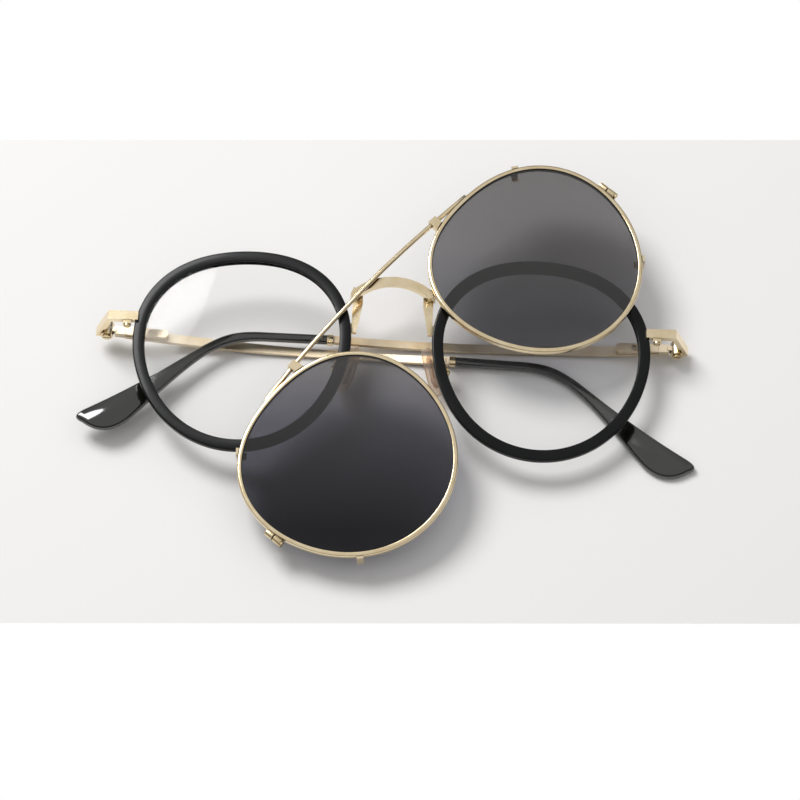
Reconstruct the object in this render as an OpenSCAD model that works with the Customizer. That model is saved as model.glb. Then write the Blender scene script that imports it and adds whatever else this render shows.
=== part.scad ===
// Round spectacles lying folded on their temples, with a detached clip-on sun lens unit across them.
// The eye frame is drawn in its own frame: x to the viewer's right, y up the front, z out of the front.
// Left and right are the viewer's. Millimetres throughout.

/* [Front] */
// distance between the two lens centres, lens width plus bridge
lens_pitch = 69; // [64:0.5:76]
// mean radius of a lens opening
lens_base = 22.5; // [19:0.5:26]
// how much fuller the upper corners of a lens are than a circle
panto = 0.031; // [0:0.001:0.05]
// how much squarer the outline is than a circle
squareness = 0.0088; // [0:0.0002:0.02]
// radial width of a black rim
rim_w = 2.65; // [2:0.05:4]
// depth of a black rim from front to back
rim_t = 2.2; // [1.8:0.1:3.5]
// depth of the groove that holds the lens
groove = 0.5; // [0.3:0.05:0.8]
// thickness of the clear lens
lens_t = 1.25; // [0.8:0.05:1.4]
// how far each rim is swept back round the face
wrap = 3.4; // [0:0.1:8]

/* [Bridge] */
// height of the bridge arch's crown above the lens centres
bridge_y = 18.4; // [16:0.2:23]
// gap between the ends of the arch and the rims
arch_gap = 0.5; // [0.2:0.1:2]
// rise of the arch
bridge_rise = 3.4; // [2:0.1:5]
// height of the bridge's feet above the lens centres
foot_y = 4.8; // [3:0.2:8]
// width of the bridge strip
bridge_w = 1.9; // [1.2:0.1:3]
// depth of the bridge strip
bridge_t = 1.8; // [1.2:0.1:2.6]

/* [Hinges] */
// distance of a hinge pin outside the rim
hinge_out = 6.4; // [5:0.2:9]
// height of the endpieces above the lens centres
hinge_y = 7.4; // [5:0.2:11]
// distance of a hinge pin behind the front
hinge_back = 7.9; // [7.5:0.05:10]
// pantoscopic tilt of the temples
tilt = 6; // [0:0.5:10]
// lean of the left hinge pin, so that the left temple folds below the right one
cant_left = 2.86; // [0:0.02:4]
// lean of the right hinge pin
cant_right = 0; // [0:0.1:2]
// radius of a hinge knuckle
knuckle_r = 1.45; // [1.2:0.05:2]
// half height of a hinge
knuckle_h = 1.65; // [1.4:0.05:2.2]
// half height of the temple's own knuckle
tongue_h = 0.6; // [0.4:0.05:0.8]
// radius of a hinge pin
pin_r = 0.5; // [0.4:0.05:0.7]
// clearance of running fits
fit = 0.05; // [0.03:0.01:0.1]
// height of an endpiece
end_h = 2.3; // [1.8:0.1:3]
// thickness of an endpiece
end_t = 1.3; // [1:0.05:1.8]

/* [Temples] */
// distance from hinge pin to the end of the metal bar
bar_len = 80; // [70:1:90]
// height of the bar at the hinge
bar_h = 2.4; // [2:0.1:4]
// height of the bar at its end
bar_h_end = 1.8; // [1.6:0.1:3]
// thickness of the bar
bar_t = 1; // [0.8:0.1:1.4]
// outward bow of the bar
bow = 2.6; // [1:0.1:4]
// length of the spring box
box_len = 9.9; // [8.5:0.1:12]
// height of the spring box
box_h = 2.1; // [1.9:0.1:2.6]
// thickness of the temple tips
tip_t = 2; // [1.6:0.1:3]
// travel of the spring hinge
spring_travel = 1.2; // [0.8:0.1:1.5]

/* [Nose pads] */
// how far the middle of a pad lies under its rim
pad_in = 0.7; // [0:0.1:2]
// height of the pads' middle above the lens centres
pad_y = -2.1; // [-6:0.1:2]
// distance of the pads' middle behind the front
pad_back = 6.1; // [6:0.1:9]
// turn of a pad seen from the front
pad_splay = 14; // [5:1:25]
// turn of a pad's face towards the nose
pad_face = 66; // [50:1:75]
// length of a nose pad
pad_len = 12; // [9:0.5:15]
// width of a nose pad
pad_w = 6.6; // [5:0.2:8]
// thickness of a nose pad
pad_t = 2.4; // [2:0.1:3]

/* [Clip-on] */
// distance from the clip's middle to a sun lens centre
clip_half = 33.15; // [31:0.05:36]
// how far the sun lens openings are larger than the frame's
clip_grow = 1.3; // [0.8:0.1:2]
// how much wider than tall the sun lenses are
clip_widen = 0.0174; // [0:0.0002:0.04]
// radial width of the clip's wire rims
clip_rim_w = 1.05; // [0.8:0.05:1.4]
// depth of the clip's wire rims
clip_rim_t = 1.6; // [1.3:0.1:2.2]
// thickness of a sun lens
sun_t = 0.95; // [0.7:0.05:1.1]
// diameter of the long top bar
clip_bar_d = 1.1; // [0.9:0.05:1.5]
// half length of the top bar
clip_bar_half = 35; // [34:0.5:40]
// rise of the bowed top bar from its ends to its middle
clip_bar_rise = 2; // [1.5:0.1:3]
// distance of the drilled lugs from the middle
lug_x = 24.7; // [22:0.5:28]
// depth of a hook behind the clip's front
hook_depth = 3.8; // [3:0.1:5]
// reach of a hook's tip under the frame
hook_reach = 2.2; // [1.5:0.1:3]
// how far round a sun lens the hook nearer the bar sits from its temple side
hook_upper = 52; // [45:1:60]
// how far round the other way the lower hook sits
hook_lower = 47; // [40:1:60]

/* [How it lies] */
// stand-off of the folded left temple
fold_left = 1.1; // [0:0.1:3]
// stand-off of the folded right temple, which lies innermost
fold_right = 0.3; // [0:0.1:1]
// lean of the whole frame about its long axis
lie_pitch = 6.4; // [0:0.05:20]
// lean of the whole frame from side to side
lie_roll = 0.95; // [-8:0.05:8]
// height that brings the lowest point to the table
lie_lift = 10.98; // [0:0.01:30]
// move along the table that centres the whole
lie_x = 0.8; // [-10:0.05:10]
// move across the table that centres the whole
lie_y = 1.45; // [-10:0.05:10]
// middle of the clip on the frame
clip_x = 12.3; // [0:0.1:20]
// middle of the clip above the lens centres
clip_y = -1.75; // [-6:0.05:6]
// height of the clip's front above the frame's
clip_z = 2.6; // [1:0.05:5]
// turn of the clip across the frame
clip_turn = 51.05; // [0:0.05:90]
// slope of the clip along its bar
clip_dip = 1; // [-5:0.1:5]
// slope of the clip across its bar
clip_lean = -1; // [-5:0.1:5]

/* [Hidden] */
$fn = 48;
eps = 0.02;
steps = 96;

gold = [0.83, 0.76, 0.6];
black = [0.12, 0.12, 0.12];
clear_glass = [0.9, 0.95, 0.97, 0.35];
dark_glass = [0.3, 0.3, 0.32, 0.9];

// rim section, outwards from the opening
rim_in = 0.25;
rim_out = rim_in + rim_w;
// mean outer radius of a rim, and the half gap that it leaves over the nose
rim_edge = lens_base + rim_out;
half_gap = lens_pitch / 2 - rim_edge;
bridge_half = half_gap - arch_gap;
hinge_x = lens_pitch / 2 + rim_edge + hinge_out;
seat_front = -0.5;
seat_back = seat_front - lens_t - fit;
clip_in = clip_grow;
clip_out = clip_in + clip_rim_w;
clip_seat = -0.3;
clip_groove = 0.35;
bar_r = bow_radius(clip_bar_half, clip_bar_rise);
bar_tilt = 35;
// height of the bar's middle, so that its outer stretches rest on the rims
bar_y = clip_top() + clip_bar_d / 2 - 0.4 + (bar_r - sqrt(bar_r * bar_r - 33 * 33)) * cos(bar_tilt);
bar_z = 0.9 - clip_bar_d / 2;
tip_slope = -0.03;
bow_r = bow_radius(42, bow);
arm_end = hinge_back + 0.85;
// where a pad arm enters its box, from the rim's edge
pad_stem = pad_t / 2 + 1.8;
pad_root = [pad_in + pad_stem * sin(pad_face) * cos(pad_splay),
    pad_y + pad_stem * sin(pad_face) * sin(pad_splay), pad_stem * cos(pad_face) - pad_back];

// radius of the circle whose arc rises by rise over a half chord
function bow_radius(half, rise) = (half * half + rise * rise) / (2 * rise);
// radius of a lens outline at an angle, 0 being the temple side and 90 the top
function lens_r(a, widen) = lens_base * (1 + widen * cos(2 * a) + panto * sin(3 * a)
    + 0.12 * panto * cos(3 * a) - squareness * cos(4 * a));
function outline(grow, widen = 0) = [for (i = [0:steps - 1]) let (a = i * 360 / steps)
    (lens_r(a, widen) + grow) * [cos(a), sin(a)]];
function clip_top() = lens_r(90, clip_widen) + clip_out;
// outward bow of a temple at a distance from the pin
function bow_at(u) = sqrt(bow_r * bow_r - (u - 42) * (u - 42)) - (bow_r - bow);

// a ring of any outline whose section is a list of [outwards, z] points
module swept_ring(section, widen = 0) {
    n = len(section);
    points = [for (i = [0:steps - 1]) let (a = i * 360 / steps, r = lens_r(a, widen))
        for (s = section) [(r + s[0]) * cos(a), (r + s[0]) * sin(a), s[1]]];
    faces = [for (i = [0:steps - 1], j = [0:n - 1])
        let (p = i * n + j, q = i * n + (j + 1) % n,
            s = ((i + 1) % steps) * n + (j + 1) % n, t = ((i + 1) % steps) * n + j)
            for (f = [[p, q, s], [p, s, t]]) f];
    polyhedron(points, faces, convexity = 4);
}

// a rounded bar outline, len long on y
module stadium(length, width) {
    square([width, length - width], center = true);
    for (s = [-1, 1])
        translate([0, s * (length - width) / 2])
            circle(d = width);
}

// the frame's own places

module lying() {
    translate([lie_x, lie_y, lie_lift])
        rotate([lie_pitch, 0, 0])
            rotate([0, lie_roll, 0])
                children();
}

// side 1 is the viewer's right; what is drawn has its temple side on +x
module at_side(side) {
    mirror([side < 0 ? 1 : 0, 0, 0])
        children();
}

module at_lens(side) {
    at_side(side)
        translate([lens_pitch / 2, 0, 0])
            rotate([0, wrap, 0])
                children();
}

// hinge frame: x along the folded temple, y backwards, z up the pin, drawn for the left
module at_hinge(side) {
    at_side(-side)
        translate([-hinge_x, hinge_y, 0])
            rotate([-90 - tilt, 0, 0])
                children();
}

module at_pin(side) {
    at_hinge(side)
        translate([0, hinge_back, 0])
            rotate([0, side < 0 ? cant_left : cant_right, 0])
                children();
}

module at_temple(side) {
    at_pin(side)
        rotate([0, 0, side < 0 ? fold_left : fold_right])
            children();
}

module at_pad(side) {
    at_side(side)
        translate([half_gap + pad_in, pad_y, -pad_back])
            rotate([0, 0, pad_splay])
                rotate([0, pad_face, 0])
                    children();
}

module at_clip() {
    translate([clip_x, clip_y, clip_z])
        rotate([0, 0, clip_turn])
            rotate([clip_lean, clip_dip, 0])
                children();
}

module at_clip_lens(side) {
    at_clip()
        at_side(side)
            translate([clip_half, 0, 0])
                rotate([0, wrap, 0])
                    children();
}

// the front

module rim(side) {
    color(black)
        difference() {
            at_lens(side)
                swept_ring([
                    [rim_in + 0.35, -rim_t], [rim_out - 0.65, -rim_t], [rim_out, -rim_t + 0.75],
                    [rim_out, -0.35], [rim_out - 0.35, 0], [rim_in + 0.3, 0],
                    [rim_in, -0.25], [rim_in, seat_front], [rim_in + groove, seat_front],
                    [rim_in + groove, seat_back], [rim_in, seat_back], [rim_in, -rim_t + 0.2]]);
            at_hinge(side)
                end_plate();
        }
}

module lens(side) {
    color(clear_glass)
        at_lens(side)
            translate([0, 0, seat_back + fit / 2])
                linear_extrude(lens_t)
                    polygon(outline(rim_in + groove - fit));
}

// the arch, its down-turned legs and the feet soldered behind the rims
module bridge() {
    arch_r = bow_radius(bridge_half, bridge_rise);
    span = asin(bridge_half / arch_r);
    color(gold) {
        translate([0, bridge_y - bridge_w / 2 - arch_r, -0.3])
            rotate([0, 0, 90 - span])
                rotate_extrude(angle = 2 * span, $fn = 120)
                    translate([arch_r - bridge_w / 2, 0])
                        square([bridge_w, bridge_t]);
        for (side = [-1, 1])
            at_side(side)
                bridge_leg();
    }
}

module bridge_leg() {
    top = bridge_y - bridge_rise - bridge_w / 2;
    translate([bridge_half - 0.55, top - 1.1, -1.9])
        rotate([0, 0, 20])
            cube([1.9, bridge_w, 1.7 + bridge_t]);
    translate([lens_pitch / 2, 0, 0])
        rotate([0, wrap, 0])
            translate([0, 0, -rim_t - 0.9]) {
                linear_extrude(1)
                    polygon([[-rim_edge - 2, top + 0.9], [-rim_edge - 2, top - 2], [-rim_edge - 0.7, foot_y],
                        [-rim_edge + 0.3, foot_y], [-rim_edge + 0.3, top + 0.9]]);
                translate([-rim_edge - 0.3, foot_y, 0])
                    cube([2.9, 2.4, 0.9]);
            }
}

// the part of an endpiece that is let into the rim
module end_plate() {
    translate([0.9, 0.8, -end_h / 2])
        cube([6.6, end_t, end_h]);
}

module endpiece(side) {
    color(gold)
        difference() {
            union() {
                at_hinge(side) {
                    end_plate();
                    translate([0, 0, -end_h / 2])
                        linear_extrude(end_h)
                            polygon([[2.4, 0.8], [0.6, 0.8], [-2.7, arm_end - 0.2],
                                [-2.3, arm_end], [-1.2, arm_end], [1.3, 0.8 + end_t], [2.4, 0.8 + end_t]]);
                    translate([4.1, 0.95, -end_h / 2 - 1])
                        cube([1.9, end_t - 0.3, 1 + eps]);
                }
                at_pin(side)
                    for (z = [-knuckle_h, tongue_h + fit])
                        translate([0, 0, z])
                            cylinder(r = knuckle_r, h = knuckle_h - tongue_h - fit);
            }
            at_pin(side) {
                cylinder(r = pin_r + fit, h = 3 * knuckle_h, center = true);
                cylinder(r = knuckle_r + 0.12, h = 2 * (tongue_h + fit), center = true);
                translate([0, -knuckle_r - 0.15, -tongue_h - fit])
                    cube([5, 2 * knuckle_r + 0.3, 2 * (tongue_h + fit)]);
            }
            at_hinge(side)
                translate([5.05, 1.45, -6])
                    cylinder(r = 0.4, h = 6.5);
        }
}

module rim_screws() {
    color(gold)
        for (side = [-1, 1])
            at_hinge(side)
                translate([5.05, 1.45, -end_h / 2 - 1.45]) {
                    cylinder(r = 0.4, h = 1.9);
                    difference() {
                        cylinder(r = 0.8, h = 0.45);
                        translate([-1, -0.12, -0.1])
                            cube([2, 0.24, 0.3]);
                    }
                }
}

module hinge_screw(side) {
    color(gold)
        at_pin(side) {
            translate([0, 0, -knuckle_h])
                cylinder(r = pin_r, h = 2 * knuckle_h);
            translate([0, 0, -knuckle_h - 0.4])
                difference() {
                    cylinder(r = 0.95, h = 0.4);
                    translate([-1.2, -0.13, -0.1])
                        cube([2.4, 0.26, 0.3]);
                }
        }
}

// the temples

box_x = 4.3;
bar_v = 0.15;
box_mid = 0.35;
box_half = 0.95;
rod_end = 12.1;

// the hinge's own half: knuckle, shoulder and the rod that the spring holds
module hinge_tongue(side) {
    color(gold)
        at_temple(side) {
            difference() {
                union() {
                    cylinder(r = knuckle_r - 0.05, h = 2 * tongue_h, center = true);
                    translate([0.5, -0.75, -tongue_h])
                        cube([1.6, 1.35, 2 * tongue_h]);
                }
                cylinder(r = pin_r + fit, h = 4, center = true);
            }
            translate([1.75, box_mid - 0.85, -1])
                cube([box_x - 1.75 - fit, 1.7, 2]);
            translate([box_x - 0.3, box_mid, 0])
                rotate([0, 90, 0])
                    cylinder(r = 0.3, h = rod_end - box_x + 0.3);
            translate([rod_end - 0.6, box_mid, 0])
                rotate([0, 90, 0])
                    cylinder(r = 0.55, h = 0.6);
        }
}

// the coil between the rod's head and the collar of the spring box
module spring(side) {
    turns = 8;
    start = box_x + 1.1 + spring_travel;
    end = rod_end - 0.72;
    n = turns * 8;
    mean = 0.45;
    wire = 0.08;
    pitch = (end - start - 2 * wire) / turns;
    ring = [for (k = [0:5]) wire * [cos(60 * k), sin(60 * k)]];
    points = [for (i = [0:n], p = ring) let (a = i * 45, r = mean + p[0])
        [start + wire + pitch * i / 8 + p[1], r * cos(a), r * sin(a)]];
    walls = [for (i = [0:n - 1], k = [0:5])
        let (p = i * 6 + k, q = i * 6 + (k + 1) % 6) [q, q + 6, p + 6, p]];
    color([0.7, 0.7, 0.7])
        at_temple(side)
            translate([0, box_mid, 0])
                polyhedron(points, concat(walls, [[for (k = [5:-1:0]) k]],
                    [[for (k = [0:5]) n * 6 + k]]), convexity = 6);
}

// bar with the spring box on its inner face
module temple(side) {
    color(gold)
        at_temple(side)
            difference() {
                union() {
                    intersection() {
                        translate([42, bar_v + bow - bow_r, -5])
                            difference() {
                                cylinder(r = bow_r + bar_t / 2, h = 10, $fn = 720);
                                translate([0, 0, -1])
                                    cylinder(r = bow_r - bar_t / 2, h = 12, $fn = 720);
                            }
                        translate([0, 20, 0])
                            rotate([90, 0, 0])
                                linear_extrude(40)
                                    polygon([[box_x, -bar_h / 2], [bar_len, -bar_h_end / 2],
                                        [bar_len, bar_h_end / 2], [box_x, bar_h / 2]]);
                    }
                    spring_box();
                    tip_tang(0);
                }
                translate([box_x - 1, box_mid, 0])
                    rotate([0, 90, 0])
                        cylinder(r = 0.3 + fit, h = 4);
                translate([box_x + 1, box_mid, 0])
                    rotate([0, 90, 0])
                        cylinder(r = 0.62, h = box_len - 2);
            }
}

module spring_box() {
    difference() {
        translate([box_x, 1.15, 0])
            rotate([90, 0, 0])
                linear_extrude(1.15 - box_mid + box_half) {
                    translate([0, -box_h / 2])
                        square([box_len - box_h / 2, box_h]);
                    translate([box_len - box_h / 2, 0])
                        circle(d = box_h);
                }
        translate([10, box_mid - box_half + 0.2, 0])
            rotate([90, 0, 0])
                cylinder(r = 0.5, h = 1);
    }
}

// where the straight tip starts on the bowed bar
module at_tip() {
    translate([bar_len, bar_v + bow_at(bar_len), 0])
        rotate([0, 0, atan(tip_slope)])
            translate([-bar_len, 0, 0])
                children();
}

// the metal core that runs into the tip
module tip_tang(clear) {
    at_tip()
        translate([bar_len - 1, -0.45 - clear, -0.7 - clear])
            cube([9, 0.9 + 2 * clear, 1.4 + 2 * clear]);
}

module tip_ferrule(side) {
    color(gold)
        at_temple(side)
            difference() {
                at_tip()
                    translate([bar_len, 0, 0])
                        rotate([0, 90, 0])
                            linear_extrude(1.4)
                                stadium_side(2.7, 2.1);
                tip_tang(0);
            }
}

// an upright stadium with its flats on y
module stadium_side(height, width) {
    square([height - width, width], center = true);
    for (s = [-1, 1])
        translate([s * (height - width) / 2, 0])
            circle(d = width);
}

// side view of the tip as Bezier curves, [distance past the bar, height] for each control point:
// elbow, upper edge, rounded end, belly, lower edge and the elbow's inside
tip_curves = [
    [[17, 1.12], [23, 1.05], [25.5, 0], [30.4, -3.45]],
    [[30.4, -3.45], [37, -8.6], [44, -14.3], [55.6, -21.3]],
    [[55.6, -21.3], [58.5, -23], [58.9, -24], [56.6, -25]],
    [[56.6, -25], [53.9, -27], [50.5, -28], [46.4, -24.3]],
    [[46.4, -24.3], [41.5, -18.9], [33.5, -8.5], [28.1, -4.63]],
    [[28.1, -4.63], [25.3, -2.9], [22.5, -1.35], [17, -1.12]]];
tip_edge = concat([[1.4, 1.12]], [for (c = tip_curves, i = [0:6]) bezier(c, i / 7)],
    [[17, -1.12], [1.4, -1.12]]);

function bezier(c, t) = pow(1 - t, 3) * c[0] + 3 * t * pow(1 - t, 2) * c[1]
    + 3 * t * t * (1 - t) * c[2] + t * t * t * c[3];

// unit vector into the shape at a point of its clockwise edge
function edge_in(i) = let (n = len(tip_edge), d = tip_edge[min(i + 1, n - 1)] - tip_edge[max(i - 1, 0)])
    [d[1], -d[0]] / norm(d);

module tip_outline(inset) {
    translate([bar_len, 0])
        polygon([for (i = [0:len(tip_edge) - 1]) tip_edge[i] + inset * edge_in(i)]);
}

module temple_tip(side) {
    color(black)
        at_temple(side)
            difference() {
                at_tip()
                    for (layer = [[tip_t / 2, 0.5], [tip_t / 2 - 0.22, 0.16], [tip_t / 2 - 0.45, 0]])
                        translate([0, layer[0], 0])
                            rotate([90, 0, 0])
                                linear_extrude(2 * layer[0])
                                    tip_outline(layer[1]);
                tip_tang(0);
            }
}

// the nose pads, drawn with the arm on +z

module pad_arm(side) {
    color(gold) {
        at_side(side)
            translate([half_gap, 0, 0])
                tube([for (i = [0:16]) bezier([[1.8, -4.4, -0.82], [2.1, -5.6, -5.2],
                    [6.1, -2.6, -4.4], pad_root], i / 16)], 0.42);
        at_pad(side)
            difference() {
                translate([-1.4, -1.1, pad_t / 2 + 0.3])
                    cube([2.8, 2.2, 1.7]);
                translate([-0.85, -2, pad_t / 2])
                    cube([1.7, 4, 1.5]);
                translate([-3, 0, pad_t / 2 + 0.75])
                    rotate([0, 90, 0])
                        cylinder(r = 0.3, h = 6);
            }
    }
}

// a round wire of eight sides along a list of points
module tube(path, r) {
    n = len(path);
    points = [for (i = [0:n - 1])
        let (d = path[min(i + 1, n - 1)] - path[max(i - 1, 0)], t = d / norm(d),
            c = cross(t, [0, 1, 0]), u = c / norm(c), v = cross(t, u))
            for (k = [0:7]) path[i] + r * (cos(45 * k) * u + sin(45 * k) * v)];
    polyhedron(points, concat(
        [for (i = [0:n - 2], k = [0:7]) let (p = i * 8 + k, q = i * 8 + (k + 1) % 8) [q, p, p + 8, q + 8]],
        [[for (k = [0:7]) k]], [[for (k = [7:-1:0]) (n - 1) * 8 + k]]), convexity = 4);
}

module pad_screws() {
    color(gold)
        for (side = [-1, 1])
            at_pad(side)
                translate([-1.4, 0, pad_t / 2 + 0.75])
                    rotate([0, 90, 0]) {
                        cylinder(r = 0.3, h = 2.8);
                        translate([0, 0, 2.8])
                            cylinder(r = 0.55, h = 0.3);
                    }
}

module nose_pad(side) {
    color([0.93, 0.88, 0.82, 0.5])
        at_pad(side)
            difference() {
                union() {
                    for (layer = [[pad_t, 1.1], [pad_t - 0.7, 0.35], [pad_t - 1.3, 0]])
                        linear_extrude(layer[0], center = true)
                            stadium(pad_len - 2 * layer[1], pad_w - 2 * layer[1]);
                    translate([0, 0, pad_t / 2 + 0.6])
                        cube([1.6, 1.5, 1.3], center = true);
                }
                pad_plate();
                translate([0, 0, pad_t / 2 + 0.75])
                    rotate([0, 90, 0])
                        cylinder(r = 0.3 + fit, h = 6, center = true);
            }
}

module pad_plate() {
    linear_extrude(0.7, center = true)
        stadium(pad_len - 4, pad_w - 3);
}

module pad_core(side) {
    color([0.5, 0.28, 0.15])
        at_pad(side)
            pad_plate();
}

// the clip-on

// a sun lens rim as a plain solid, for what is soldered against it
module clip_rim_block(side) {
    at_clip_lens(side)
        translate([0, 0, -10])
            linear_extrude(20)
                polygon(outline(clip_out, clip_widen));
}

module clip_rim(side) {
    r = lens_r(0, clip_widen) + clip_out;
    color(gold)
        difference() {
            at_clip_lens(side)
                difference() {
                    union() {
                        swept_ring([
                            [clip_in + 0.2, -clip_rim_t], [clip_out - 0.25, -clip_rim_t],
                            [clip_out, -clip_rim_t + 0.3], [clip_out, -0.3], [clip_out - 0.25, 0],
                            [clip_in + 0.25, 0], [clip_in, clip_seat + 0.05], [clip_in, clip_seat],
                            [clip_in + clip_groove, clip_seat],
                            [clip_in + clip_groove, clip_seat - sun_t - fit],
                            [clip_in, clip_seat - sun_t - fit], [clip_in, -clip_rim_t + 0.15]],
                            clip_widen);
                        translate([r + 0.55, 0, -clip_rim_t / 2])
                            rotate([90, 0, 0])
                                cylinder(r = 0.9, h = 4.4, center = true);
                    }
                    translate([r - 2, -0.1, -3])
                        cube([6, 0.2, 4]);
                    translate([r + 0.7, 0, -clip_rim_t / 2])
                        rotate([90, 0, 0])
                            cylinder(r = 0.4, h = 10, center = true);
                    translate([0, 0, clip_seat - sun_t - fit])
                        linear_extrude(sun_t + fit)
                            polygon(outline(clip_in + clip_groove, clip_widen));
                }
        }
}

module sun_lens(side) {
    color(dark_glass)
        at_clip_lens(side)
            translate([0, 0, clip_seat - sun_t - fit / 2])
                linear_extrude(sun_t)
                    polygon(outline(clip_in + clip_groove - fit, clip_widen));
}

module bar_wire(r) {
    at_clip()
        translate([0, bar_y, bar_z])
            rotate([bar_tilt, 0, 0])
                translate([0, -bar_r, 0])
                    rotate([0, 0, 90 - asin(clip_bar_half / bar_r)])
                        rotate_extrude(angle = 2 * asin(clip_bar_half / bar_r), $fn = 720)
                            translate([bar_r, 0])
                                circle(r = r, $fn = 24);
}

module clip_bar() {
    color(gold)
        difference() {
            bar_wire(clip_bar_d / 2);
            clip_rim_block(-1);
            clip_rim_block(1);
        }
}

module clip_lugs() {
    drop = bar_r - sqrt(bar_r * bar_r - lug_x * lug_x);
    color(gold)
        for (side = [-1, 1])
            difference() {
                at_clip()
                    translate([side * lug_x, bar_y - drop * cos(bar_tilt), bar_z - drop * sin(bar_tilt)])
                        rotate([0, 0, -side * 5])
                            translate([-1.1, -2.6, -0.85])
                                cube([2.2, 3.45, 1.7]);
                bar_wire(clip_bar_d / 2);
                clip_rim_block(side);
            }
}

module clip_hooks(side) {
    color(gold)
        for (a = [-hook_lower, hook_upper])
            at_clip_lens(side)
                difference() {
                    rotate([0, 0, a])
                        hook(lens_r(a, clip_widen) + clip_out);
                    translate([0, 0, -2.2])
                        linear_extrude(10)
                            polygon(outline(clip_out, clip_widen));
                }
}

// a flat J: root outside the rim, back, then in under the frame
module hook(r) {
    translate([r - 0.3, -0.8, -hook_depth])
        cube([0.85, 1.6, hook_depth - 0.15]);
    translate([r + 0.55 - hook_reach, -0.8, -hook_depth])
        cube([hook_reach, 1.6, 0.6]);
}

module clip_screws() {
    r = lens_r(0, clip_widen) + clip_out;
    color(gold)
        for (side = [-1, 1])
            at_clip_lens(side)
                translate([r + 0.7, -2.65, -clip_rim_t / 2])
                    rotate([-90, 0, 0]) {
                        translate([0, 0, 0.45])
                            cylinder(r = 0.4, h = 4.4);
                        difference() {
                            cylinder(r = 0.75, h = 0.45);
                            translate([-1, -0.12, -0.1])
                                cube([2, 0.24, 0.3]);
                        }
                    }
}

lying() {
    rim(-1);  // rim_left
    rim(1);  // rim_right
    lens(-1);  // lens_left
    lens(1);  // lens_right
    bridge();
    endpiece(-1);  // endpiece_left
    endpiece(1);  // endpiece_right
    rim_screws();
    hinge_screw(-1);  // hinge_screw_left
    hinge_screw(1);  // hinge_screw_right
    hinge_tongue(-1);  // hinge_tongue_left
    hinge_tongue(1);  // hinge_tongue_right
    spring(-1);  // spring_left
    spring(1);  // spring_right
    temple(-1);  // temple_left
    temple(1);  // temple_right
    tip_ferrule(-1);  // tip_ferrule_left
    tip_ferrule(1);  // tip_ferrule_right
    temple_tip(-1);  // temple_tip_left
    temple_tip(1);  // temple_tip_right
    pad_arm(-1);  // pad_arm_left
    pad_arm(1);  // pad_arm_right
    pad_screws();
    nose_pad(-1);  // nose_pad_left
    nose_pad(1);  // nose_pad_right
    pad_core(-1);  // pad_core_left
    pad_core(1);  // pad_core_right
    clip_rim(-1);  // clip_rim_left
    clip_rim(1);  // clip_rim_right
    sun_lens(-1);  // sun_lens_left
    sun_lens(1);  // sun_lens_right
    clip_bar();
    clip_lugs();
    clip_hooks(-1);  // clip_hooks_left
    clip_hooks(1);  // clip_hooks_right
    clip_screws();
}
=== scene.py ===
# %% [markdown]
# # Round spectacles with a loose clip-on
#
# A pair of round spectacles lies folded on its temples, and a unit of two dark lenses lies across it. The
# solid model from the CAD step gives every place and size. This notebook adds what a camera sees: smooth
# plastic rims, drawn wire, plated metal, tinted glass and the light of a small photo table.

# %% Load the frame
import math

import bmesh
import bpy
from mathutils import Matrix, Vector


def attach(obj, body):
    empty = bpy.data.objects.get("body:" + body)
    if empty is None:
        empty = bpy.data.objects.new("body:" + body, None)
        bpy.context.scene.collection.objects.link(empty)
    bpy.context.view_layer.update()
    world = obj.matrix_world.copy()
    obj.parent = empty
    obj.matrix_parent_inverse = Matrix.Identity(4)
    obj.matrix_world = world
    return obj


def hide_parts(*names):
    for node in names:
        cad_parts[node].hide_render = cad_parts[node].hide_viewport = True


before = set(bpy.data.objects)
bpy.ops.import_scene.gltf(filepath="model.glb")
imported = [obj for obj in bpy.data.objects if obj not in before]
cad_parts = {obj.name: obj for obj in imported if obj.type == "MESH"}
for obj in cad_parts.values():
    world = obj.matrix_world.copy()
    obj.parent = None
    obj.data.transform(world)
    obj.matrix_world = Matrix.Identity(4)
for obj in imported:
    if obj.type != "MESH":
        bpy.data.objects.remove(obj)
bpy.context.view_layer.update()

# %% [markdown]
# ## Places
#
# The eye frame was drawn upright and then laid down. The same few turns are repeated here, so that each new
# piece is built in the simple frame of its own lens, hinge or pad and then lands exactly where the CAD has
# it. Repeating the turns is safer than fitting by eye, because a wrong number shows at once as a gap.

# %% Named places
MM = 0.001
LENS_PITCH = 69.0    # between the lens centres
LENS_BASE = 22.5     # radius of the lens outline before it is made fuller
PANTO = 0.031        # how much fuller the upper corners are
SKEW = 0.12          # share of that which leans outwards
SQUARENESS = 0.0088
WRAP = 3.4           # each lens turns back by this many degrees
HINGE = dict(x=66.3, y=7.4, back=7.9, tilt=6.0, cant_left=2.86, cant_right=0.0)
FOLD = {-1: 1.1, 1: 0.3}
LIE = dict(pitch=6.4, roll=0.95, move=(0.8, 1.45, 10.98))
CLIP = dict(place=(12.3, -1.75, 2.6), turn=51.05, dip=1.0, lean=-1.0, half=33.15, widen=0.0174)


def turn(axis, degrees):
    return Matrix.Rotation(math.radians(degrees), 4, axis)


def move(x, y, z):
    return Matrix.Translation((x, y, z))


SCALE = Matrix.Diagonal((MM, MM, MM, 1))
LYING = SCALE @ move(*LIE["move"]) @ turn("X", LIE["pitch"]) @ turn("Y", LIE["roll"])


def at_side(side):
    return Matrix.Diagonal((side, 1, 1, 1))


def at_lens(side):
    return LYING @ at_side(side) @ move(LENS_PITCH / 2, 0, 0) @ turn("Y", WRAP)


def at_clip():
    return (LYING @ move(*CLIP["place"]) @ turn("Z", CLIP["turn"])
            @ turn("Y", CLIP["dip"]) @ turn("X", CLIP["lean"]))


def at_clip_lens(side):
    return at_clip() @ at_side(side) @ move(CLIP["half"], 0, 0) @ turn("Y", WRAP)


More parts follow.
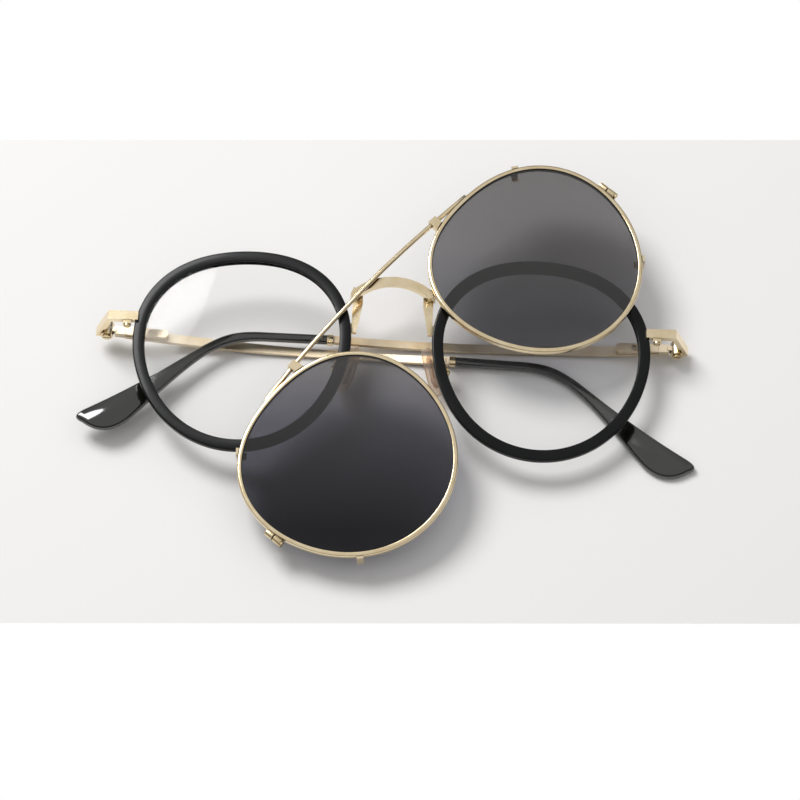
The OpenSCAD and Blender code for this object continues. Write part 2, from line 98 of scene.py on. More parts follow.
def at_temple(side):
    cant = HINGE["cant_left"] if side < 0 else HINGE["cant_right"]
    return (LYING @ at_side(-side) @ move(-HINGE["x"], HINGE["y"], 0) @ turn("X", -90 - HINGE["tilt"])
            @ move(0, HINGE["back"], 0) @ turn("Y", cant) @ turn("Z", FOLD[side]))


def lens_radius(angle, widen=0.0):
    """The lens outline that every section follows: a circle, fuller at its upper corners and a bit squarer."""
    return LENS_BASE * (1 + widen * math.cos(2 * angle) + PANTO * math.sin(3 * angle)
                        + SKEW * PANTO * math.cos(3 * angle) - SQUARENESS * math.cos(4 * angle))


print("lens outline", round(2 * lens_radius(0), 1), "mm across")

# %% [markdown]
# ## Node material helpers
#
# Colours are read off as screen colours, so one function turns them into light values. Every material is a
# small node tree: a base shader and one or two noise patterns at the real scale of the surface, because
# plating, moulded plastic and handled metal never reflect perfectly evenly. One function adds any node, with
# its settings and links.


# %% Material helpers
def linear(hex_colour):
    """Screen colour to light, as RGBA."""
    channels = [int(hex_colour[i:i + 2], 16) / 255 for i in (1, 3, 5)]
    return tuple(c / 12.92 if c <= 0.04045 else ((c + 0.055) / 1.055) ** 2.4 for c in channels) + (1.0,)


def add(tree, kind, inputs, **settings):
    """Adds a node with its settings. An input is a plain value, or another node's output, which is linked."""
    node = tree.nodes.new("ShaderNode" + kind)
    for setting, value in settings.items():
        setattr(node, setting, value)
    for socket, value in inputs.items():
        if isinstance(value, bpy.types.NodeSocket):
            tree.links.new(value, node.inputs[socket])
        else:
            node.inputs[socket].default_value = value
    return node


def set_stops(ramp, stops):
    """Gives a colour ramp its stops, each a position and a hex colour."""
    elements = ramp.color_ramp.elements
    while len(elements) < len(stops):
        elements.new(0.5)
    for element, (position, colour) in zip(elements, stops):
        element.position = position
        element.color = linear(colour)


def pattern(tree, scale, detail, packing=(1, 1, 1)):
    """Cloudy noise between 0 and 1, with scale features per metre. Packing sets them closer along an axis."""
    place = add(tree, "TexCoord", {})
    packed = add(tree, "Mapping", {"Vector": place.outputs["Object"], "Scale": packing})
    clouds = add(tree, "TexNoise", {"Vector": packed.outputs["Vector"], "Scale": scale, "Detail": detail})
    return clouds.outputs["Fac"]


def empty_material(name):
    mat = bpy.data.materials.new(name)
    mat.use_nodes = True
    mat.node_tree.nodes.clear()
    return mat, mat.node_tree


print("helpers ready")

# %% [markdown]
# ## Champagne gold plating
#
# The real metal is a copper nickel alloy, polished and plated in pale gold, then lacquered. Its colour stays
# warm in the shadows. It could be one flat metal colour, but handled plating has a faint cloudiness: a broad
# noise moves the colour, and a fine one moves the roughness and dents the surface by a hundredth of a
# millimetre. That is coarser than real polishing marks, because those would be too fine to show.

# %% Plated metal
PLATING_CLOUDS, POLISHING_GRAIN = 260, 2600    # features per metre
MARK_DEPTH, MARK_STRENGTH = 0.01 * MM, 0.25
CREASE_REACH = 1.2 * MM
# the dark brown of the painted shade in creases and between parts
CREASE_SHADE = "#3c2614"
CREASE_SHADE_FROM, CREASE_SHADE_TO = 0.3, 0.85           # painted shade: a place is painted dark brown where less is open, and gold where more is
LACQUER, LACQUER_ROUGHNESS = 0.25, 0.12


def plated(name, light, dark, rough_low, rough_high, packing=(1, 1, 1)):
    """Metal whose colour drifts between dark and light, with a grain that packing can give a direction."""
    mat, tree = empty_material(name)
    gold = add(tree, "ValToRGB", {"Fac": pattern(tree, PLATING_CLOUDS, 2.0)})
    set_stops(gold, [(0.3, dark), (0.65, light)])
    # painted shade: the plating is painted dark brown where it's closed in, in creases and between parts
    closed = add(tree, "AmbientOcclusion", {"Distance": CREASE_REACH}, samples=6)
    unshaded = add(tree, "MapRange", {
        "Value": closed.outputs["AO"], "From Min": CREASE_SHADE_FROM, "From Max": CREASE_SHADE_TO})
    colour = add(tree, "Mix", {
        "Factor": unshaded.outputs["Result"], "A": linear(CREASE_SHADE), "B": gold.outputs["Color"]
    }, data_type="RGBA")
    grain = pattern(tree, POLISHING_GRAIN, 4.0, packing)
    rough = add(tree, "MapRange", {"Value": grain, "To Min": rough_low, "To Max": rough_high})
    marks = add(tree, "Bump", {"Height": grain, "Distance": MARK_DEPTH, "Strength": MARK_STRENGTH})
    metal = add(tree, "BsdfPrincipled", {
        "Base Color": colour.outputs["Result"], "Metallic": 1.0, "Roughness": rough.outputs["Result"],
        "Coat Weight": LACQUER, "Coat Roughness": LACQUER_ROUGHNESS, "Normal": marks.outputs["Normal"]})
    add(tree, "OutputMaterial", {"Surface": metal.outputs["BSDF"]})
    return mat


gold_polished = plated("gold_polished", "#f8e6c2", "#ecd6ac", 0.1, 0.2)
gold_satin = plated("gold_satin", "#efdfc4", "#e4d1b0", 0.28, 0.42, (1, 6, 6))
gold_screw = plated("gold_screw", "#ead8b2", "#d6c094", 0.2, 0.34)
spring_wire = plated("spring_wire", "#c9cbce", "#b4b7bb", 0.22, 0.3)
print("metals:", gold_polished.name, gold_satin.name, gold_screw.name, spring_wire.name)

# %% [markdown]
# ## Black plastic
#
# Rims and tips are tumbled acetate, near black. Tumbling leaves a very soft unevenness, so long noise moves
# the roughness. The rims have a silky gloss. The tips are polished further: the room shows in their flat
# sides as an even olive grey.

# %% Black acetate
TUMBLING_CLOUDS, TUMBLING_GRAIN = 120, 900    # features per metre
RIPPLE_DEPTH, RIPPLE_STRENGTH = 0.02 * MM, 0.15
POLISH_ROUGHNESS = 0.06


def acetate(name, light, dark, rough_low, rough_high, mirror, polish):
    mat, tree = empty_material(name)
    clouds = pattern(tree, TUMBLING_CLOUDS, 3.0)
    colour = add(tree, "ValToRGB", {"Fac": clouds})
    set_stops(colour, [(0.35, dark), (0.7, light)])
    rough = add(tree, "MapRange", {"Value": clouds, "To Min": rough_low, "To Max": rough_high})
    grain = pattern(tree, TUMBLING_GRAIN, 2.0)
    ripples = add(tree, "Bump", {"Height": grain, "Distance": RIPPLE_DEPTH, "Strength": RIPPLE_STRENGTH})
    plastic = add(tree, "BsdfPrincipled", {
        "Base Color": colour.outputs["Color"], "Roughness": rough.outputs["Result"],
        "Specular IOR Level": mirror, "Coat Weight": polish, "Coat Roughness": POLISH_ROUGHNESS,
        "Normal": ripples.outputs["Normal"]})
    add(tree, "OutputMaterial", {"Surface": plastic.outputs["BSDF"]})
    return mat


rim_black = acetate("rim_black", "#111213", "#0a0b0b", 0.2, 0.32, 0.16, 0.1)
tip_black = acetate("tip_black", "#16160f", "#0d0d0a", 0.06, 0.14, 0.9, 0.6)
print("plastics:", rim_black.name, tip_black.name)

# %% [markdown]
# ## Glass
#
# The clear lenses are demonstration lenses: nearly nothing but a faint reflection. The sun lenses are grey.
# Their tint is graded along the table, and the lower one's is darker towards the near side as painted shade and
# lighter at the far side as painted reflection; a white veil on each sun lens is painted reflection too, and the
# dark lens edge is painted shade in the groove. Real refraction in such thin lenses hardly moves anything, so
# each is a tinted see-through sheet with a mirror reflection that grows at a slant. That keeps the shadows grey
# and clean. The Fresnel node would turn the far face of such an unbending sheet into a full mirror when seen
# from low down, so the reflection follows the angle alone, alike from both sides.

# %% Lens glass
TINT_CLOUDS, TINT_UNEVEN = 35, 0.06    # features per metre, and how far they shift the tint
MIRROR_ROUGHNESS = 0.03
# colour of the white veil that paints the room's reflection onto the sun lenses
REFLECTION_VEIL_COLOUR = "#f4f2ee"
# colour of the painted shade on the sun lens's edge in its groove
GROOVE_SHADE = "#0a0a0b"
GRAZING_POWER = 5.0                    # how late a face turns to a mirror as the view gets flatter


def mirror_share(tree, least):
    """How much a polished face mirrors: least when seen straight on, and all of it at a grazing angle."""
    slant = add(tree, "LayerWeight", {"Blend": 0.5})
    grazing = add(tree, "Math", {0: slant.outputs["Facing"], 1: GRAZING_POWER}, operation="POWER")
    return add(tree, "MapRange", {"Value": grazing.outputs["Value"], "To Min": least}).outputs["Result"]


def glass(name, tints, far, near, index, reflection_veil=None):
    """A lens tinted between near and far, its extent along the table in metres.

    tints are (position from near to far, hex colour that each face lets through), graded along the table as
    painted shade and painted reflection. A sun lens also has a veil, a white diffuse painted reflection given at
    the near and the far side, and its ground edge is painted dark as shade.
    """
    mat, tree = empty_material(name)
    place = add(tree, "TexCoord", {})
    split = add(tree, "SeparateXYZ", {"Vector": place.outputs["Object"]})
    along = add(tree, "MapRange", {"Value": split.outputs["Y"], "From Min": near, "From Max": far})
    clouds = pattern(tree, TINT_CLOUDS, 1.0)
    uneven = add(tree, "Math", {0: clouds, 1: TINT_UNEVEN, 2: along.outputs["Result"]},
                 operation="MULTIPLY_ADD")
    # painted shade and painted reflection: the tint is graded along the table
    tint = add(tree, "ValToRGB", {"Fac": uneven.outputs["Value"]})
    set_stops(tint, tints)
    through = add(tree, "BsdfTransparent", {"Color": tint.outputs["Color"]})
    mirror = add(tree, "BsdfGlossy", {"Roughness": MIRROR_ROUGHNESS})
    share = mirror_share(tree, ((index - 1) / (index + 1)) ** 2)
    surface = add(tree, "MixShader", {"Fac": share, 1: through.outputs["BSDF"], 2: mirror.outputs["BSDF"]})
    if reflection_veil:
        # painted reflection: a white diffuse veil stands in for the room's reflection, given at the near and the
        # far side
        amount = add(tree, "MapRange", {
            "Value": along.outputs["Result"], "To Min": reflection_veil[0], "To Max": reflection_veil[1]})
        coating = add(tree, "BsdfDiffuse", {"Color": linear(REFLECTION_VEIL_COLOUR)})
        veiled = add(tree, "MixShader", {"Fac": amount.outputs["Result"], 1: surface.outputs["Shader"],
                                         2: coating.outputs["BSDF"]})
        # painted shade: the lens edge is painted dark, as shade in the rim's groove
        edge = add(tree, "Attribute", {}, attribute_name="edge")
        painted_edge_shade = add(tree, "BsdfDiffuse", {"Color": linear(GROOVE_SHADE)})
        surface = add(tree, "MixShader", {"Fac": edge.outputs["Fac"], 1: veiled.outputs["Shader"],
                                          2: painted_edge_shade.outputs["BSDF"]})
    add(tree, "OutputMaterial", {"Surface": surface.outputs["Shader"]})
    return mat


COATED_INDEX, TINTED_INDEX = 1.2, 1.33    # lower than bare plastic, because the faces have a coating
clear_glass = glass("clear_lens", [(0.0, "#fdfdfd"), (1.0, "#fefefe")], 0.05, -0.05, COATED_INDEX)
# each sun lens's tint grading and veil are painted: darker near side as shade, lighter far side as reflection
sun_right = glass("sun_tint_right", [(0.0, "#a9aab0"), (0.45, "#b3b2b4"), (1.0, "#a8a7a7")], 0.054, 0.009,
                  TINTED_INDEX, (0.03, 0.042))
sun_left = glass("sun_tint_left", [(0.0, "#7a7c85"), (0.5, "#9e9ea7"), (1.0, "#c6c4c2")], 0.01, -0.044,
                 TINTED_INDEX, (0.006, 0.06))
print("glass:", clear_glass.name, sun_left.name, sun_right.name)

# %% [markdown]
# ## Soft pads
#
# A nose pad is clear silicone moulded over a stiff brown core. It could be glass, but a bending skin this
# small renders slowly and hides the core. So the silicone is part see-through, with a wet looking skin that
# closes at a slant. The core has the copper brown mottling of a printed insert.

# %% Pad materials
MILKINESS, PAD_MOTTLE = 700, 900    # features per metre
LEAST_VEIL = 0.12                   # how much of the silicone shows when seen straight on

pad_skin, tree = empty_material("pad_silicone")
milk = add(tree, "ValToRGB", {"Fac": pattern(tree, MILKINESS, 2.0)})
set_stops(milk, [(0.3, "#f2e4d6"), (0.7, "#fdf8f2")])
silicone = add(tree, "BsdfPrincipled", {"Base Color": milk.outputs["Color"], "Roughness": 0.14})
clear = add(tree, "BsdfTransparent", {"Color": milk.outputs["Color"]})
skin = add(tree, "MixShader", {"Fac": mirror_share(tree, LEAST_VEIL), 1: clear.outputs["BSDF"],
                               2: silicone.outputs["BSDF"]})
add(tree, "OutputMaterial", {"Surface": skin.outputs["Shader"]})

pad_brown, tree = empty_material("pad_core_brown")
mottle = add(tree, "ValToRGB", {"Fac": pattern(tree, PAD_MOTTLE, 5.0, (1, 0.35, 1))})
set_stops(mottle, [(0.38, "#3a1408"), (0.52, "#8e4220"), (0.7, "#cf9a66")])
core = add(tree, "BsdfPrincipled", {
    "Base Color": mottle.outputs["Color"], "Roughness": 0.35, "Metallic": 0.4})
add(tree, "OutputMaterial", {"Surface": core.outputs["BSDF"]})
print("pads:", pad_skin.name, pad_brown.name)

# %% [markdown]
# ## Mesh helpers
#
# A rim is one section carried round an outline. The CAD does this with flat facets. Here the same section has
# rounded edges and many more steps, and is shaded smooth with sharp creases kept, as a milled and tumbled rim
# is.


# %% Mesh helpers
def finish_piece(name, mesh, material, body, nodes_replaced, crease=35.0):
    """Adds the mesh as a piece that rides on a body and stands for its CAD nodes."""
    bm = bmesh.new()
    bm.from_mesh(mesh)
    bmesh.ops.recalc_face_normals(bm, faces=bm.faces)
    bm.to_mesh(mesh)
    bm.free()
    mesh.polygons.foreach_set("use_smooth", [True] * len(mesh.polygons))
    mesh.set_sharp_from_angle(angle=math.radians(crease))
    mesh.materials.append(material)
    piece = bpy.data.objects.new(name, mesh)
    bpy.context.scene.collection.objects.link(piece)
    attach(piece, body)
    if nodes_replaced:
        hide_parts(*nodes_replaced)
    print(name, len(mesh.polygons), "faces")


CORNER_SHARE = 0.45    # a rounding takes at most this share of each side of its corner


def rounded(section, radius, steps=3):
    """A closed section with each corner rounded. Points are (outwards, depth), and may give an own radius."""
    out = []
    n = len(section)
    for i, point in enumerate(section):
        p = Vector(point[:2])
        own = point[2] if len(point) > 2 else radius
        before = Vector(section[i - 1][:2]) - p
        after = Vector(section[(i + 1) % n][:2]) - p
        cut = min(own, before.length * CORNER_SHARE, after.length * CORNER_SHARE)
        a = p + before.normalized() * cut
        b = p + after.normalized() * cut
        for k in range(steps + 1):
            t = k / steps
            out.append(a * (1 - t) ** 2 + p * 2 * t * (1 - t) + b * t * t)
    return out


def ring_mesh(name, section, place, widen=0.0, steps=288):
    """Carries a closed section round the lens outline."""
    verts = []
    for i in range(steps):
        angle = 2 * math.pi * i / steps
        r = lens_radius(angle, widen)
        for s in section:
            verts.append(place @ Vector(((r + s[0]) * math.cos(angle), (r + s[0]) * math.sin(angle), s[1])))
    n = len(section)
    faces = [(i * n + j, i * n + (j + 1) % n, (i + 1) % steps * n + (j + 1) % n, (i + 1) % steps * n + j)
             for i in range(steps) for j in range(n)]
    mesh = bpy.data.meshes.new(name)
    mesh.from_pydata(verts, [], faces)
    return mesh


print("mesh helpers ready")

# %% [markdown]
# ## Black rims
#
# The rim is 2.65 mm wide and 2.2 mm deep. Its front edges are rounded by polishing and its outer back edge is
# bevelled, which gives the thin grey line that runs round the underside. The lens groove stays inside.

# %% Rims
RIM_IN, RIM_OUT, RIM_DEEP = 0.25, 2.9, 2.2
SEAT_FRONT, SEAT_BACK, GROOVE = -0.5, -1.8, 0.5
rim_section = rounded([
    (RIM_IN + 0.35, -RIM_DEEP), (RIM_OUT - 0.65, -RIM_DEEP), (RIM_OUT, -RIM_DEEP + 0.75),
    (RIM_OUT, 0, 0.42), (RIM_IN, 0, 0.34), (RIM_IN, SEAT_FRONT, 0.03),
    (RIM_IN + GROOVE, SEAT_FRONT, 0.03), (RIM_IN + GROOVE, SEAT_BACK, 0.03),
    (RIM_IN, SEAT_BACK, 0.03), (RIM_IN, -RIM_DEEP + 0.25)], 0.12)
SIDES = ((-1, "left"), (1, "right"))
for side, word in SIDES:
    rim = ring_mesh(f"rim_{word}_smooth", rim_section, at_lens(side))
    finish_piece(rim.name, rim, rim_black, "front", [f"rim_{word}"])

# %% [markdown]
# ## Wire rims of the clip-on
#
# These are drawn from grooved wire, bright on its rounded face. A shallow step inside the front edge is where
# the sun lens shows its bevel. Each rim is closed by a barrel, two short tubes that a screw pulls together.
# The wire is the lens outline with a section carried round it. A barrel is turned, so it is a profile spun
# about its own axis.

# %% Clip rims
CLIP_IN, CLIP_OUT, CLIP_DEEP = 1.3, 2.35, 1.6
CLIP_SEAT, CLIP_GROOVE, SUN_T = -0.3, 0.35, 0.95
clip_section = rounded([
    (CLIP_IN + 0.15, -CLIP_DEEP), (CLIP_OUT, -CLIP_DEEP, 0.35), (CLIP_OUT, 0, 0.45), (CLIP_IN, 0, 0.3),
    (CLIP_IN, CLIP_SEAT, 0.02), (CLIP_IN + CLIP_GROOVE, CLIP_SEAT, 0.02),
    (CLIP_IN + CLIP_GROOVE, CLIP_SEAT - SUN_T - 0.05, 0.02), (CLIP_IN, CLIP_SEAT - SUN_T - 0.05, 0.02)], 0.1)
BARREL_AWAY = 0.55    # from the wire's outer edge to the barrel's axis
BARREL_PROFILE = [(0.4, 0.1), (0.8, 0.1), (0.9, 0.2), (0.9, 1.95), (0.86, 2.1), (0.74, 2.2), (0.4, 2.2)]


def barrel_mesh(name, place, turns=32):
    """A closing barrel: two short turned tubes with rounded ends and a saw cut between them."""
    axis_x = lens_radius(0, CLIP["widen"]) + CLIP_OUT + BARREL_AWAY
    verts, faces = [], []
    for half in (-1, 1):
        start = len(verts)
        for k in range(turns):
            a = 2 * math.pi * k / turns
            for radius, y in BARREL_PROFILE:
                verts.append(place @ Vector((axis_x + radius * math.cos(a), half * y,
                                             -CLIP_DEEP / 2 + radius * math.sin(a))))
        n = len(BARREL_PROFILE)
        for k in range(turns):
            for j in range(n):
                faces.append((start + k * n + j, start + k * n + (j + 1) % n,
                              start + (k + 1) % turns * n + (j + 1) % n, start + (k + 1) % turns * n + j))
    mesh = bpy.data.meshes.new(name)
    mesh.from_pydata(verts, [], faces)
    return mesh


for side, word in SIDES:
    wire = ring_mesh(f"clip_rim_{word}_wire", clip_section, at_clip_lens(side), CLIP["widen"])
    finish_piece(wire.name, wire, gold_polished, "clip_on", [f"clip_rim_{word}"])
    barrel = barrel_mesh(f"clip_barrel_{word}", at_clip_lens(side))
    finish_piece(barrel.name, barrel, gold_screw, "clip_on", [])

# %% [markdown]
# ## Lenses
#
# A lens isn't a flat disc: it's cut from a shallow dome, so a window reflects in it as a soft patch and not
# as a sheet. Each lens is remade from rings that follow its outline, rising by a few tenths of a millimetre.
# The rings near the rim carry a value that the glass uses to paint the ground edge dark, as shade in the groove.


# %% Lenses
SHADED_EDGE_FROM = 0.985    # share of the lens radius where the painted edge shade begins


def lens_mesh(name, place, grow, back, thick, rise, widen=0.0, turns=192, rings=24):
    """A closed lens between back and back + thick, domed by rise. The value edge is 1 on the ground edge,
    painted dark as shade.
    """
    verts, edge, faces = [], [], []
    fractions = [math.sin(math.pi / 2 * k / rings) for k in range(rings + 1)]
    for top in (1, 0):
        for k, f in enumerate(fractions[1:]):
            for i in range(turns):
                a = 2 * math.pi * i / turns
                r = (lens_radius(a, widen) + grow) * f
                z = back + thick * top + rise * (1 - f * f)
                verts.append(place @ Vector((r * math.cos(a), r * math.sin(a), z)))
                edge.append(1.0 if f > SHADED_EDGE_FROM else 0.0)
        verts.append(place @ Vector((0, 0, back + thick * top + rise)))
        edge.append(0.0)
    block = rings * turns + 1
    for top in (0, 1):
        start = top * block
        for i in range(turns):
            j = (i + 1) % turns
            faces.append((start + block - 1, start + i, start + j))
            for k in range(rings - 1):
                faces.append((start + k * turns + i, start + (k + 1) * turns + i,
                              start + (k + 1) * turns + j, start + k * turns + j))
    outer = (rings - 1) * turns
    for i in range(turns):
        j = (i + 1) % turns
        faces.append((outer + i, block + outer + i, block + outer + j, outer + j))
    mesh = bpy.data.meshes.new(name)
    mesh.from_pydata(verts, [], faces)
    value = mesh.attributes.new("edge", "FLOAT", "POINT")
    value.data.foreach_set("value", edge)
    return mesh


FIT = 0.05           # room round a lens in its groove
LENS_T = 1.25
LENS_RISE, SUN_RISE = 0.4, 0.25
for (side, word), tinted in zip(SIDES, (sun_left, sun_right)):
    lens = lens_mesh(f"lens_{word}_domed", at_lens(side), RIM_IN + GROOVE - FIT, SEAT_BACK + FIT / 2, LENS_T,
                     LENS_RISE)
    finish_piece(lens.name, lens, clear_glass, "front", [f"lens_{word}"])
    sun = lens_mesh(f"sun_lens_{word}_domed", at_clip_lens(side), CLIP_IN + CLIP_GROOVE - FIT,
                    CLIP_SEAT - SUN_T - FIT / 2, SUN_T, SUN_RISE, CLIP["widen"])
    finish_piece(sun.name, sun, tinted, "clip_on", [f"sun_lens_{word}"])

# %% [markdown]
# ## Temple tips
#
# A tip is pushed over the metal core while warm and then polished. Seen from the side it bends down over the
# ear and widens like a spoon; its cross-section is a soft rounded bar all the way. It could be cut from a
# sheet, but then its edges would be sharp. So its side outline is swept inwards in rings that round the edge
# over.

# %% Temple tips
BAR_LEN, BAR_AWAY = 80.0, 0.15        # the bar's length, and how far it is set off its hinge line
BOW, BOW_MIDDLE, BAR_END_SLOPE = 2.6, 42, -0.03    # how far the bar bows, and where most
TIP_T, TIP_HALF_H = 2.0, 1.12
STEM_START, STEM_END, STEM_STEPS, CURVE_STEPS = 1.4, 17, 10, 14
EDGE_INSET, EDGE_FLAT = 0.55, 0.55    # how far the edge is drawn in, and the flat share of its depth
EDGE_RINGS, RING_DEGREES = 6, 15
TIP_CURVES = [
    [(17, 1.12), (23, 1.05), (25.5, 0), (30.4, -3.45)],
    [(30.4, -3.45), (37, -8.6), (44, -14.3), (55.6, -21.3)],
    [(55.6, -21.3), (58.5, -23), (58.9, -24), (56.6, -25)],
    [(56.6, -25), (53.9, -27), (50.5, -28), (46.4, -24.3)],
    [(46.4, -24.3), (41.5, -18.9), (33.5, -8.5), (28.1, -4.63)],
    [(28.1, -4.63), (25.3, -2.9), (22.5, -1.35), (17, -1.12)]]


def bezier(c, t):
    a, b, d, e = (Vector(p) for p in c)
    return a * (1 - t) ** 3 + b * 3 * t * (1 - t) ** 2 + d * 3 * t * t * (1 - t) + e * t ** 3


def tip_edge():
    """The side outline: along the top of the stem, round the spoon and back along the stem's underside."""
    stem = STEM_END - STEM_START
    edge = [Vector((STEM_START + stem * k / STEM_STEPS, TIP_HALF_H)) for k in range(STEM_STEPS)]
    for curve in TIP_CURVES:
        edge += [bezier(curve, k / CURVE_STEPS) for k in range(CURVE_STEPS)]
    edge += [Vector((STEM_END - stem * k / STEM_STEPS, -TIP_HALF_H)) for k in range(STEM_STEPS + 1)]
    return edge


def tip_mesh(name, place):
    """The outline is drawn in and towards the faces step by step, which rounds the edge softly."""
    edge = tip_edge()
    n = len(edge)
    inward = []
    for i, p in enumerate(edge):
        d = edge[min(i + 1, n - 1)] - edge[max(i - 1, 0)]
        inward.append(Vector((d.y, -d.x)).normalized())
    rings = []
    for k in range(-EDGE_RINGS, EDGE_RINGS + 1):
        a = math.radians(k * RING_DEGREES)
        inset = EDGE_INSET * (1 - math.cos(a))
        share = EDGE_FLAT * abs(k) / EDGE_RINGS + (1 - EDGE_FLAT) * math.sin(abs(a))
        depth = TIP_T / 2 * share * (1 if k > 0 else -1)
        rings.append([(p + w * inset, depth) for p, w in zip(edge, inward)])
    verts, faces = [], []
    for ring in rings:
        for p, depth in ring:
            verts.append(place @ Vector((BAR_LEN + p.x, depth, p.y)))
    for k in range(len(rings) - 1):
        for i in range(n):
            faces.append((k * n + i, k * n + (i + 1) % n, (k + 1) * n + (i + 1) % n, (k + 1) * n + i))
    faces.append(tuple(range(n)))
    faces.append(tuple((len(rings) - 1) * n + i for i in reversed(range(n))))
    mesh = bpy.data.meshes.new(name)
    mesh.from_pydata(verts, [], faces)
    return mesh


bow_radius = (BOW_MIDDLE ** 2 + BOW ** 2) / (2 * BOW)
bow_end = math.sqrt(bow_radius ** 2 - (BAR_LEN - BOW_MIDDLE) ** 2) - (bow_radius - BOW)
for side, word in SIDES:
    tip_place = (at_temple(side) @ move(BAR_LEN, BAR_AWAY + bow_end, 0)
                 @ turn("Z", math.degrees(math.atan(BAR_END_SLOPE))) @ move(-BAR_LEN, 0, 0))
    tip = tip_mesh(f"temple_tip_{word}_soft", tip_place)
    finish_piece(tip.name, tip, tip_black, f"temple_{word}", [f"temple_tip_{word}"], 40)

# %% [markdown]
# ## CAD pieces that stay
#
# The rest is right as the CAD has it. Each piece gets its finish, and most a fine bevel, because real edges are
# never knife sharp and it's the bevel that catches the light.

# %% Finish the CAD pieces
BEVEL_FROM = 40    # degrees at an edge
# each name, or start of a name, with its finish and the bevel's width in millimetres
FINISH = {
    "bridge": (gold_polished, 0.18), "endpiece_": (gold_polished, 0.12), "rim_screws": (gold_screw, 0.05),
    "hinge_screw_": (gold_screw, 0.05), "hinge_tongue_": (gold_satin, 0.08), "spring_": (spring_wire, 0),
    "temple_left": (gold_satin, 0.1), "temple_right": (gold_satin, 0.1),
    "tip_ferrule_": (gold_polished, 0.08), "pad_arm_": (gold_polished, 0.05), "pad_screws": (gold_screw, 0.03),
    "nose_pad_": (pad_skin, 0), "pad_core_": (pad_brown, 0),
    "clip_bar": (gold_polished, 0), "clip_lugs": (gold_polished, 0.1), "clip_hooks_": (gold_polished, 0.1),
    "clip_screws": (gold_screw, 0.04)}
for name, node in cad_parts.items():
    if node.hide_render:
        continue
    key = next(k for k in FINISH if name == k or (k.endswith("_") and name.startswith(k)))
    material, edge = FINISH[key]
    node.data.materials.clear()
    node.data.materials.append(material)
    if edge:
        bevel = node.modifiers.new("soft_edges", "BEVEL")
        bevel.width = edge * MM
        bevel.segments = 2
        bevel.limit_method = "ANGLE"
        bevel.angle_limit = math.radians(BEVEL_FROM)
print("finished", len(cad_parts), "CAD nodes")

# %% [markdown]
# ## Table
#
# The picture is a product shot on a pale card, which ends above and below in plain white. Two strips of white
# card could lie there, but they would throw light on the object. So the table is one sheet, and its material
# turns white past two slightly sloping lines, for the camera only.

# %% Table
CARD_FAR, CARD_NEAR, CARD_SLOPE = 0.0679, -0.0630, 0.0322
CARD, CARD_ROUGHNESS, CARD_SHINE = "#efeeed", 0.9, 0.1


def card_material():
    mat, tree = empty_material("table_card")
    place = add(tree, "TexCoord", {})
    split = add(tree, "SeparateXYZ", {"Vector": place.outputs["Object"]})
    along = add(tree, "Math", {0: split.outputs["X"], 1: -CARD_SLOPE, 2: split.outputs["Y"]},
                operation="MULTIPLY_ADD")
    far = add(tree, "Math", {0: along.outputs["Value"], 1: CARD_FAR}, operation="GREATER_THAN")
    near = add(tree, "Math", {0: along.outputs["Value"], 1: CARD_NEAR}, operation="LESS_THAN")
    outside = add(tree, "Math", {0: far.outputs["Value"], 1: near.outputs["Value"]}, operation="ADD")
    path = add(tree, "LightPath", {})
    seen = add(tree, "Math", {0: outside.outputs["Value"], 1: path.outputs["Is Camera Ray"]},
               operation="MULTIPLY")
    card = add(tree, "BsdfPrincipled", {
        "Base Color": linear(CARD), "Roughness": CARD_ROUGHNESS, "Specular IOR Level": CARD_SHINE})
    white = add(tree, "Emission", {"Color": (1, 1, 1, 1)})
    sheet = add(tree, "MixShader", {"Fac": seen.outputs["Value"], 1: card.outputs["BSDF"],
                                    2: white.outputs["Emission"]})
    add(tree, "OutputMaterial", {"Surface": sheet.outputs["Shader"]})
    return mat


table_mesh = bpy.data.meshes.new("table")
table_mesh.from_pydata([(-1, -1, 0), (1, -1, 0), (1, 1, 0), (-1, 1, 0)], [], [(0, 1, 2, 3)])
table_mesh.materials.append(card_material())
table = bpy.data.objects.new("table", table_mesh)
bpy.context.scene.collection.objects.link(table)
print("card from", CARD_NEAR, "to", CARD_FAR)

# %% [markdown]
# ## Light
#
# One soft window stands far off on the left, so the shadows fall to the near right. It keeps clear of the
# direction that the lenses mirror towards the camera. The room fills the rest: white overhead, grey lower down
# and dark brown at the level of the table, which gives the gold its dark lines.


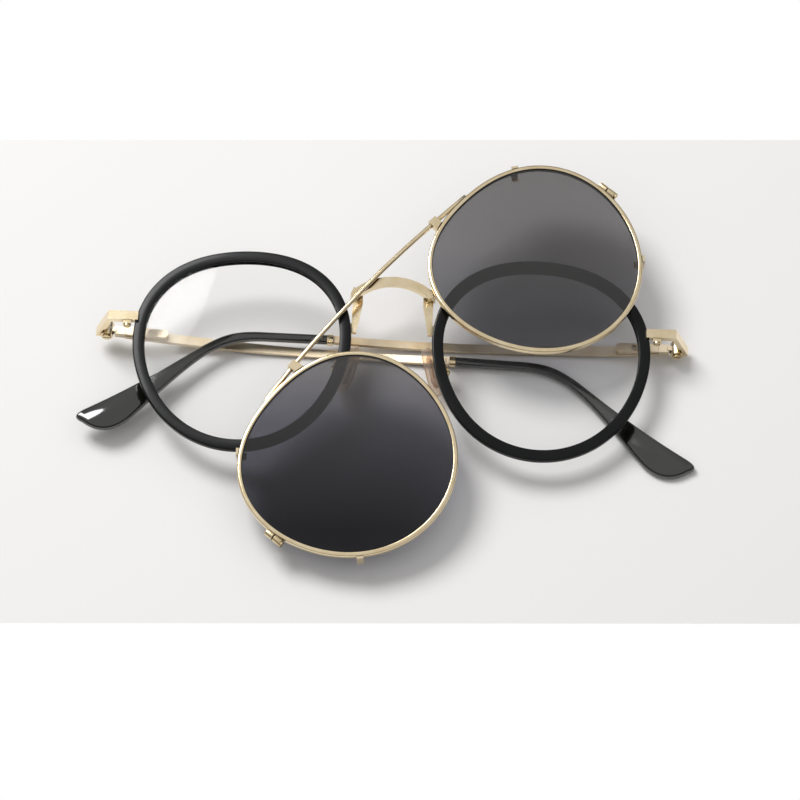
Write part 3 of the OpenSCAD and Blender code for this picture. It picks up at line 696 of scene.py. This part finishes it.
# %% Light
WINDOW_PLACE, WINDOW_SIZE, WINDOW_POWER = (-0.5, 0.49, 0.94), 0.6, 9.8
ROOM_STOPS = ((0.0, "#241e18"), (0.26, "#625d58"), (0.5, "#d4d4d4"), (0.8, "#ffffff"))
ROOM_STRENGTH = 0.62


def area_light(name, place, size, power):
    """A round lamp that faces the object."""
    light = bpy.data.lights.new(name, "AREA")
    light.shape = "DISK"
    light.size = size
    light.energy = power
    lamp = bpy.data.objects.new(name, light)
    bpy.context.scene.collection.objects.link(lamp)
    lamp.location = place
    lamp.rotation_euler = (-Vector(place)).to_track_quat("-Z", "Y").to_euler()


area_light("window", WINDOW_PLACE, WINDOW_SIZE, WINDOW_POWER)
world = bpy.data.worlds.new("studio")
world.use_nodes = True
bpy.context.scene.world = world
tree = world.node_tree
tree.nodes.clear()
direction = add(tree, "TexCoord", {})
height = add(tree, "SeparateXYZ", {"Vector": direction.outputs["Generated"]})
room = add(tree, "ValToRGB", {"Fac": height.outputs["Z"]})
set_stops(room, ROOM_STOPS)
glow = add(tree, "Background", {"Color": room.outputs["Color"], "Strength": ROOM_STRENGTH})
add(tree, "OutputWorld", {"Surface": glow.outputs["Background"]})
print("lit by one window and the room")

# %% [markdown]
# ## Camera
#
# A long lens looks down from the near side, about 59 degrees above the table. Its place was worked out from
# the outlines of the four lenses. A long lens from far off keeps the rims' outlines round, as a wide one
# wouldn't.

# %% Camera
SENSOR, FOCAL_LENGTH, SHIFT_UP = 36.0, 162.0, -0.0225
CAMERA_PLACE, CAMERA_TURN = (0.023351, -0.426284, 0.720111), (30.643, 0.384, 2.106)

camera_data = bpy.data.cameras.new("camera")
camera_data.sensor_width = SENSOR
camera_data.lens = FOCAL_LENGTH
camera_data.shift_y = SHIFT_UP
camera_data.clip_start = 0.05
camera = bpy.data.objects.new("camera", camera_data)
bpy.context.scene.collection.objects.link(camera)
camera.location = CAMERA_PLACE
camera.rotation_euler = tuple(math.radians(a) for a in CAMERA_TURN)
scene = bpy.context.scene
scene.camera = camera
scene.view_settings.view_transform = "Standard"
print("camera at", tuple(round(c, 3) for c in camera.location))
